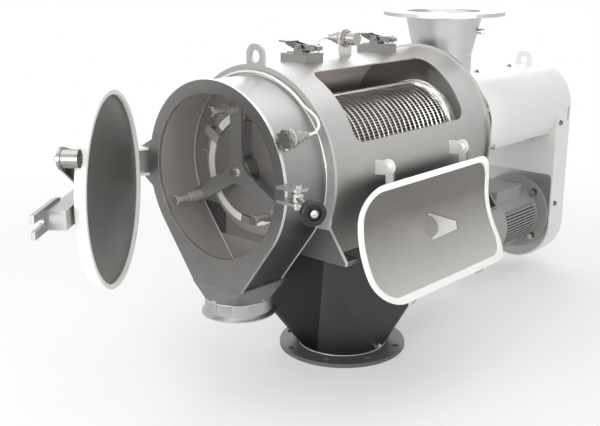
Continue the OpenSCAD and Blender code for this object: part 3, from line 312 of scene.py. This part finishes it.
# Hopper and outlet flange. The hopper is folded from thicker sheet and coloured nearly black as painted shade
# and a painted dark reflection, darkest at its front and left. The flange is turned from plate to a dull grey
# and has eight drilled holes.
# Painted shade and painted dark reflection: the hopper's steel is nearly black.
hopper_steel = coated("hopper_steel_painted_shade", "#393734", roughness=0.5, ripple_mm=6.0,
                      metallic=0.4)
hopper_side = coated("hopper_front_and_left_painted_shade", "#242528", roughness=0.55, ripple_mm=6.0, metallic=0.95)
flange_steel = coated("dull_flange_steel", "#6c6c6a", roughness=0.5, ripple_mm=8.0, metallic=0.4)
hopper = rounded("hopper", 0.0004, hopper_steel)
# Painted shade: the faces that look to the front and left get the darker tone.
recolour(hopper, hopper_side, lambda at, out: out.x < 0.12)
rounded("outlet_flange", 0.0008, flange_steel)

# Reject chamber, frame plate and spout. The same blasted sheet. The frame plate is laser
# cut and welded round the mouth of the chamber, and the spout ends in a clamp ferrule.
# The chamber's skin fades to a dark painted shade on its underside, its inside is matt, and the frame plate
# and the spout's cone are a darker grey, a painted shade.
chamber_steel = blasted_steel("blasted_chamber_steel", "#bcbbba", "#a8a7a6", roughness=0.4)
# Painted shade: the chamber's skin darkens from 0.68 m down to 0.42 m.
chamber_skin = blasted_steel("blasted_chamber_skin_painted_shade", "#c6c5c4", "#b4b3b2", roughness=0.4,
                             low=("#565554", 0.68, 0.42))
chamber_inside = coated("blasted_chamber_inside", "#bfbab6", roughness=0.42, ripple_mm=40.0, metallic=0.4)
# Painted shade: the frame plate's steel is a darker grey than the chamber's.
frame_steel = blasted_steel("frame_steel_painted_shade", "#848381", "#757472", roughness=0.42)
plate_steel = blasted_steel("blasted_plate_steel", "#888785", "#787775", roughness=0.42)
cut_steel = blasted_steel("laser_cut_sheet_steel", "#ecebea", "#dedddb", roughness=0.5)
ferrule_top = 0.236


def faces_inside(at, out):
    """The chamber's back wall and every face that looks into it, with the straight sides of its chute."""
    in_chute = at.x * out.x + min(at.z - axis_height, 0) * out.z < -0.02
    return in_chute or looks_outward(at, out) < -0.15 or abs(out.y) > 0.9


chamber = rounded("reject_chamber", 0.0004, chamber_skin)
recolour(chamber, chamber_inside, faces_inside)
spout = rounded("reject_spout", 0.0006, chamber_steel)
# Painted shade: the spout's cone above the ferrule gets the darker plate steel.
recolour(spout, plate_steel, lambda at, out: at.z > ferrule_top)
frame_sheet = rounded("frame_plate", 0.001, frame_steel, rim=edge_steel)
# Painted highlight: the frame plate's rim faces get the paler edge steel.
recolour(frame_sheet, edge_steel, lambda at, out: abs(out.y) < 0.3)
rounded("bolt_clevis", 0.0008, chamber_steel)
rounded("hinge_plates", 0.0006, cut_steel)

# Feed housing and inlet pipe. Rolled and blasted sheet, with a cone and a turned flange welded on top. The
# housing is painted darker on its underside, a painted shade.
# Painted shade: the housing darkens from 0.66 m down to 0.56 m.
feed_steel = blasted_steel("blasted_feed_end_steel_painted_shade", "#cbcac9", "#b9b8b7", roughness=0.4,
                           low=("#5c5b59", 0.66, 0.56))
dress(feed_steel, "feed_housing")
rounded("inlet_pipe", 0.0008, housing_steel)


# Rotor, its shaft and the feed screw. The shaft is turned bright from bar and runs on bought
# ball bearings, the paddles are matt blasted plate on arms, and the screw's flight is welded
# round the shaft and left bright.
def bright_steel(name, colour, roughness):
    """Turned, drawn or pressed stainless steel, left bright, with fine uneven marks."""
    mark_width = 0.004
    steel = blank(name)
    place = add(steel, "ShaderNodeTexCoord", {})
    marks = add(steel, "ShaderNodeTexNoise", {"Scale": 1 / mark_width, "Detail": 4.0},
                [("Vector", place, "Object")])
    shine = add(steel, "ShaderNodeMapRange", {"To Min": roughness - 0.06, "To Max": roughness + 0.08},
                [("Value", marks, "Fac")])
    skin = add(steel, "ShaderNodeBsdfPrincipled", {"Metallic": 1.0, "Base Color": linear(colour)},
               [("Roughness", shine, 0)])
    add(steel, "ShaderNodeOutputMaterial", {}, [("Surface", skin, 0)])
    return steel


turned_steel = bright_steel("turned_stainless_steel", "#c9c8c4", roughness=0.24)
dress(turned_steel, "rotor_shaft", "bearings", "feed_screw")
dress(plate_steel, "rotor_paddles")

# Spider and pushers. Three flat arms cut from plate and blasted to a matt grey centre the shaft
# in a bright turned hub, and three turned pushers with nuts press the basket home.
hub_front = -0.3665
spider_steel = coated("blasted_spider_steel", "#7f7d7b", roughness=0.45, ripple_mm=30.0, metallic=0.5)
spider = rounded("spider", 0.0006, spider_steel)
recolour(spider, turned_steel, lambda at, out: at.y < hub_front)
pushers = rounded("pushers", 0.0006, cut_steel)
recolour(pushers, plate_steel, lambda at, out: faces_front(out, 0.8))

# Toggle latches of the side door. Pressed from stainless strip and riveted, a little dark
# from handling, with a darker lever.
latch_steel = bright_steel("pressed_latch_steel", "#8b8987", roughness=0.34)
lever_steel = bright_steel("dull_lever_steel", "#6b6967", roughness=0.34)
for name in ("latch_bases", "latch_hook_a", "latch_hook_b"):
    rounded(name, 0.0006, latch_steel)
for name in ("latch_lever_a", "latch_lever_b"):
    rounded(name, 0.0006, lever_steel)

# Sensors, their brackets and the earthing studs. The sensors are threaded brass tubes with a
# nickel plating, which is warmer and darker than the turned steel of studs and brackets.
sensor_steel = bright_steel("nickelled_sensor_steel", "#a9a7a3", roughness=0.26)
dress(sensor_steel, "sensors", "door_actuator")
dress(turned_steel, "sensor_brackets", "earth_studs")

# Sensor cables and junction box. The cables have a smooth pale grey sheath and run along the
# housing to a small box of black moulded nylon, which has a fine dull grain.
sheath = coated("pale_grey_cable_sheath", "#dadad9", roughness=0.45, ripple_mm=1.0)
black_moulding = coated("black_moulded_nylon", "#131314", roughness=0.42, ripple_mm=0.9)
dress(sheath, "sensor_cables")
dress(black_moulding, "junction_box")

# Drive cover and belt guard. Folded sheet steel with a smooth white powder coat, which shows
# as an even, slightly glossy white. The guard's edges are drawn round.
powder_coat = coated("white_powder_coat", "#efeeec", roughness=0.35, ripple_mm=3.0)
dress(powder_coat, "drive_cover")
rounded("belt_guard", 0.003, powder_coat, 3)

# Motor. Pressure die-cast aluminium frame and flange and a sheet cowl, in a satin grey
# enamel all over, with a turned shaft and a moulded fan.
motor_enamel = coated("grey_enamel_on_castings", "#a09f9d", roughness=0.38, ripple_mm=2.0)
castings = (("motor_frame", 0.0006), ("motor_flange", 0.001), ("motor_box", 0.0015), ("fan_cowl", 0.002))
for name, radius in castings:
    rounded(name, radius, motor_enamel)
dress(turned_steel, "motor_shaft")
dress(black_moulding, "motor_fan")

# Screws of the covers, the feed housing and the motor's flange. Bright turned stainless steel,
# screwed in from outside. Those on the drive's covers have dark moulded sides.
covers_from = 0.5
for name in ("cover_screws", "motor_bolts"):
    screws = rounded(name, 0.0005, turned_steel)
    recolour(screws, black_moulding, lambda at, out: abs(out.y) < 0.5 and at.y > covers_from)

# Drive parts behind the covers. The pulleys are cast iron, dark and rough, the belts are
# black rubber, and the bearing housing and its frames are blasted steel.
cast_iron = coated("grey_cast_iron", "#4a4a4a", roughness=0.55, ripple_mm=1.0, metallic=0.6)
belt_rubber = coated("black_belt_rubber", "#1a1a1a", roughness=0.7, ripple_mm=0.8)
dress(cast_iron, "big_pulley", "small_pulley")
dress(belt_rubber, "drive_belts")
dress(chamber_steel, "bearing_housing", "drive_frame", "motor_plate")


# Sieve basket ends. Turned and blasted rings, with a ring of smooth white acetal behind and a
# seal ring in front. The seal is moulded in six white segments, and grey shows in its gaps.
def around_the_drum(material):
    """Object coordinates split up, and the angle round the drum's axis."""
    place = add(material, "ShaderNodeTexCoord", {})
    apart = add(material, "ShaderNodeSeparateXYZ", {}, [(0, place, "Object")])
    rise = add(material, "ShaderNodeMath", {"operation": "SUBTRACT", 1: axis_height}, [(0, apart, "Z")])
    turn = add(material, "ShaderNodeMath", {"operation": "ARCTAN2"}, [(0, rise, 0), (1, apart, "X")])
    return apart, turn


segment_count, first_gap, half_gap = 6, math.radians(146), 0.143
segments = blank("seal_ring_in_six_segments")
apart, turn = around_the_drum(segments)
shift = add(segments, "ShaderNodeMath", {"operation": "SUBTRACT", 1: first_gap}, [(0, turn, 0)])
share = add(segments, "ShaderNodeMath", {"operation": "DIVIDE", 1: math.tau / segment_count}, [(0, shift, 0)])
from_gap = add(segments, "ShaderNodeMath", {"operation": "PINGPONG", 1: 0.5}, [(0, share, 0)])
near_gap = add(segments, "ShaderNodeMath", {"operation": "LESS_THAN", 1: half_gap}, [(0, from_gap, 0)])
in_front = add(segments, "ShaderNodeMath", {"operation": "LESS_THAN", 1: 0}, [(0, apart, "Y")])
gap = add(segments, "ShaderNodeMath", {"operation": "MULTIPLY"}, [(0, near_gap, 0), (1, in_front, 0)])
tone = add(segments, "ShaderNodeMix", {"data_type": "RGBA", 6: linear("#fbfaf7"), 7: linear("#8d8783")},
           [(0, gap, 0)])
skin = add(segments, "ShaderNodeBsdfPrincipled", {"Roughness": 0.4}, [("Base Color", tone, 2)])
add(segments, "ShaderNodeOutputMaterial", {}, [("Surface", skin, 0)])
dress(segments, "basket_seals")
white_moulding = coated("white_moulded_acetal", "#f4f3ef", roughness=0.4, ripple_mm=1.5)
ends = rounded("basket_ends", 0.0006, chamber_inside)
recolour(ends, white_moulding, lambda at, out: at.y > 0)

# Front door. A dished sheet disc, a dull mid grey, on a square tube arm. Its gasket and the
# shaft's seal are white silicone with a soft sheen.
disc_steel = blasted_steel("spun_disc_steel", "#969592", "#858482", roughness=0.48)
silicone = coated("white_silicone", "#eeedea", roughness=0.5, ripple_mm=1.2)
dress(disc_steel, "door_disc")
rounded("door_arm", 0.0012, chamber_steel)
rounded("door_gasket", 0.0035, silicone, 4)
dress(silicone, "shaft_seal")

# Side door. A panel rolled from blasted sheet with two hinge leaves and a fin inside, painted darker at the
# top and paler low down as painted light and shade, and a bead gasket of silicone round its edge.
# Painted light and shade: the panel is dark at the top and turns pale from 0.42 m down to 0.17 m.
panel_steel = blasted_steel("door_panel_steel_painted_light_and_shade", "#827f7c", "#73706d", roughness=0.4,
                            low=("#d9d8d6", 0.42, 0.17))
side_panel = rounded("side_door", 0.0006, panel_steel)
recolour(side_panel, cut_steel, lambda at, out: abs(out.y) > 0.95)
rounded("side_gasket", 0.003, silicone, 3)


# Weld seams. TIG beads where sheets meet, ground little and left with their small even ripples, in a paler
# steel than the blasted sheet beside them, a painted highlight.
def spaced(points, step):
    """Points at even steps along a path."""
    points = [Vector(p) for p in points]
    out = [points[0]]
    for start, end in zip(points, points[1:]):
        count = max(1, round((end - start).length / step))
        out += [start.lerp(end, i / count) for i in range(1, count + 1)]
    return out


def weld(name, points, radius):
    """A rippled bead along a path."""
    knot_gap, ripple, ripple_turn = 0.0016, 0.16, 2.1
    path = spaced(points, knot_gap)
    curve = bpy.data.curves.new(name, "CURVE")
    curve.dimensions = "3D"
    curve.bevel_depth = radius
    curve.bevel_resolution = 2
    bead = curve.splines.new("POLY")
    bead.points.add(len(path) - 1)
    for i, (knot, place) in enumerate(zip(bead.points, path)):
        knot.co = (*place, 1)
        knot.radius = 1 + ripple * math.sin(i * ripple_turn)
    curve.materials.append(edge_steel)
    fit(name, curve, "machine")


def drop(radius, lean, foot, y):
    """The outline of a round chamber that narrows to a chute: an arc over the axis and two straight sides."""
    arc = [math.radians(180 + lean - i * (180 + 2 * lean) / 90) for i in range(91)]
    ring = [(radius * math.cos(a), y, axis_height + radius * math.sin(a)) for a in arc]
    reach = radius * math.cos(math.radians(lean))
    drop_from = axis_height - radius * math.sin(math.radians(lean))
    inner = reach - (drop_from - foot) * math.tan(math.radians(lean))
    return [(-inner, y, foot)] + ring + [(inner, y, foot)]


def ring_of(radius, z, y=0.0):
    """A level circle, closed."""
    steps = 72
    turn = [math.tau * i / steps for i in range(steps + 1)]
    return [(radius * math.cos(a), y + radius * math.sin(a), z) for a in turn]


chamber_outside, chamber_inner, chamber_lean, chute_foot = 0.2045, 0.1992, 37, 0.273
drum_outside, drum_lean, drum_foot, drum_front = 0.2208, 10.75, 0.348, -0.2958
inlet_y, inlet_outside, feed_outside, spout_y = 0.4115, 0.0775, 0.1285, -0.3655
weld("weld_chamber_back", drop(chamber_outside, chamber_lean, chute_foot, y=-0.3064), radius=0.0018)
weld("weld_chamber_inside", drop(chamber_inner, chamber_lean, chute_foot, y=-0.3066), radius=0.0016)
weld("weld_frame_inside", drop(chamber_inner, chamber_lean, chute_foot, y=-0.4254), radius=0.0016)
weld("weld_drum_front", drop(drum_outside, drum_lean, drum_foot, drum_front), radius=0.0015)
weld("weld_cone_foot", ring_of(0.0772, z=0.705, y=inlet_y), radius=0.0012)
weld("weld_spout_neck", ring_of(0.0762, z=0.2335, y=spout_y), radius=0.0012)
saddle = [(x, y, axis_height + math.sqrt(feed_outside ** 2 - x * x))
          for x, y, z in ring_of(inlet_outside, z=0, y=inlet_y)]
weld("weld_inlet_saddle", saddle, radius=0.0016)
weld("weld_inlet_flange", ring_of(0.1013, z=0.8073, y=inlet_y), radius=0.0014)
weld("weld_hopper_foot", ring_of(0.1117, z=0.0107), radius=0.0013)


# Swing bolt and its knob. A turned eye bolt with a washer and a knob of black moulded nylon,
# which has rounded lobes, and a recess in its face with the domed end of the bolt in it.
def lathe(name, profile, steps, material, body, point, direction, lobes=0, depth=0.0):
    """Turns a (radius, height) profile round an axis that leaves point along direction, with shallow
    lobes if asked."""
    shape = bmesh.new()
    rings = []
    for radius, height in profile:
        ring = []
        for i in range(steps):
            angle = math.tau * i / steps
            reach = radius * (1 - depth * (1 - math.cos(lobes * angle)) / 2)
            ring.append(shape.verts.new((reach * math.cos(angle), reach * math.sin(angle), height)))
        rings.append(ring)
    for low, high in zip(rings, rings[1:]):
        for i in range(steps):
            j = (i + 1) % steps
            shape.faces.new((low[i], low[j], high[j], high[i]))
    shape.faces.new(rings[0][::-1])
    shape.faces.new(rings[-1])
    turn = Vector(direction).to_track_quat("Z", "Y").to_matrix().to_4x4()
    shape.transform(Matrix.Translation(point) @ turn)
    mesh = bpy.data.meshes.new(name)
    shape.to_mesh(mesh)
    shape.free()
    mesh.materials.append(material)
    mesh.shade_smooth()
    mesh.set_sharp_from_angle(angle=math.radians(38))
    return fit(name, mesh, body)


rounded("swing_bolt", 0.0006, turned_steel)
dress(turned_steel, "knob_washer")
bolt_pivot, bolt_turn, bolt_reach = Vector((0.250, -0.446, 0.517)), math.radians(56.3), 0.0976
bolt_way = Vector((math.sin(bolt_turn), -math.cos(bolt_turn), 0))
knob_foot = bolt_pivot + bolt_way * bolt_reach
quarter = [math.radians(15 * i) for i in range(7)]
knob_outline = [(0.0061, 0), (0.0108, 0), (0.011, 0.0006), (0.011, 0.0076), (0.0165, 0.0081)]
knob_outline += [(0.0192 + 0.0056 * math.sin(a), 0.0137 - 0.0056 * math.cos(a)) for a in quarter]
knob_outline += [(0.0188 + 0.006 * math.cos(a), 0.022 + 0.006 * math.sin(a)) for a in quarter]
knob_outline += [(0.0152, 0.0281), (0.0141, 0.0276), (0.0137, 0.0268), (0.0137, 0.0222), (0.0061, 0.0222)]
knob = lathe("knob_body", knob_outline, 84, black_moulding, "knob_body", knob_foot, bolt_way,
             lobes=6, depth=0.03)
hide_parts("knob")
dome = [(0.0085, 0.0235), (0.0085, 0.0262)]
dome += [(0.0085 * math.cos(a), 0.0262 + 0.0062 * math.sin(a)) for a in quarter[1:6]]
lathe("swing_bolt_end", dome, 36, turned_steel, "swing_bolt_body", knob_foot, bolt_way)

# Rotor front disc. Cut from 2 mm sheet and blasted to a matt grey, it closes the front of the
# paddle rotor just behind the basket's front ring.
hole, disc_radius, sheet, broken = 0.036, 0.107, 0.002, 0.0005
disc = [(hole, 0), (0.1064, 0), (disc_radius, broken), (disc_radius, 0.0015), (0.1064, sheet), (hole, sheet)]
disc_foot = Vector((0, -0.3262, axis_height))
rotor_steel = coated("blasted_rotor_steel", "#8b8886", roughness=0.45, ripple_mm=30.0, metallic=0.5)
lathe("rotor_front_disc", disc, 96, rotor_steel, "rotor", disc_foot, (0, -1, 0))


# Wire cage of the basket. Bright rings of round wire, resistance welded on thin bars, and
# one flat strip along the top that carries the ends.
def wires(name, paths, radius, closed):
    """Straight or round wires along paths."""
    curve = bpy.data.curves.new(name, "CURVE")
    curve.dimensions = "3D"
    curve.bevel_depth = radius
    curve.bevel_resolution = 1
    for path in paths:
        wire = curve.splines.new("POLY")
        wire.points.add(len(path) - 1)
        for knot, place in zip(wire.points, path):
            knot.co = (*place, 1)
        wire.use_cyclic_u = closed
    curve.materials.append(wire_steel)
    return fit(name, curve, "machine")


def round_the_axis(radius, angle, y):
    return (radius * math.cos(angle), y, axis_height + radius * math.sin(angle))


wire_steel = bright_steel("bright_drawn_wire", "#dbd8d4", roughness=0.34)
ring_count, ring_radius, first_ring, ring_run = 30, 0.1281, -0.272, 0.524
bar_count, bar_radius, bar_ends = 108, 0.1245, (-0.2895, 0.2695)
ring_angles = [math.tau * i / 96 for i in range(96)]
bar_angles = [math.tau * i / bar_count for i in range(bar_count)]
ring_places = [first_ring + i * ring_run / (ring_count - 1) for i in range(ring_count)]
rings = [[round_the_axis(ring_radius, a, y) for a in ring_angles] for y in ring_places]
cage = wires("basket_rings", rings, radius=0.0019, closed=True)
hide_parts("basket_cage")
bars = [[round_the_axis(bar_radius, a, y) for y in bar_ends] for a in bar_angles]
wires("basket_bars", bars, radius=0.0009, closed=False)
strip_place, strip_size = (0.005, -0.01, 0.6453), (0.012, 0.559, 0.004, 1)
strip = bmesh.new()
bmesh.ops.create_cube(strip, size=1, matrix=Matrix.Translation(strip_place) @ Matrix.Diagonal(strip_size))
strip_mesh = bpy.data.meshes.new("basket_strip")
strip.to_mesh(strip_mesh)
strip.free()
strip_mesh.materials.append(cut_steel)
fit("basket_strip", strip_mesh, "machine")

# Sieve cloth. Woven stainless wire inside the cage, far finer than the render can show, so its weave is drawn
# at 4 mm: holes painted near black as the shade of the inside seen through them, with dull wires between
# them.
cloth_radius, mesh_width = 0.1218, 0.004
cloth = blank("woven_stainless_sieve_cloth")
apart, turn = around_the_drum(cloth)
across = add(cloth, "ShaderNodeMath", {"operation": "MULTIPLY", 1: cloth_radius / mesh_width}, [(0, turn, 0)])
along = add(cloth, "ShaderNodeMath", {"operation": "DIVIDE", 1: mesh_width}, [(0, apart, "Y")])
weft = add(cloth, "ShaderNodeMath", {"operation": "PINGPONG", 1: 0.5}, [(0, across, 0)])
warp = add(cloth, "ShaderNodeMath", {"operation": "PINGPONG", 1: 0.5}, [(0, along, 0)])
nearest = add(cloth, "ShaderNodeMath", {"operation": "MINIMUM"}, [(0, weft, 0), (1, warp, 0)])
wire = add(cloth, "ShaderNodeMapRange", {"From Min": 0.08, "From Max": 0.2, "To Min": 1.0, "To Max": 0.0},
           [("Value", nearest, 0)])
# Painted shade: the holes are near black for the dim inside seen through them.
tone = add(cloth, "ShaderNodeMix", {"data_type": "RGBA", 6: linear("#1d1b1a"), 7: linear("#77736e")},
           [(0, wire, 0)])
raised = add(cloth, "ShaderNodeBump", {"Strength": 0.5, "Distance": 0.0006}, [("Height", wire, 0)])
skin = add(cloth, "ShaderNodeBsdfPrincipled", {"Metallic": 0.7, "Roughness": 0.5},
           [("Base Color", tone, 2), ("Normal", raised, 0)])
add(cloth, "ShaderNodeOutputMaterial", {}, [("Surface", skin, 0)])
dress(cloth, "basket_mesh")
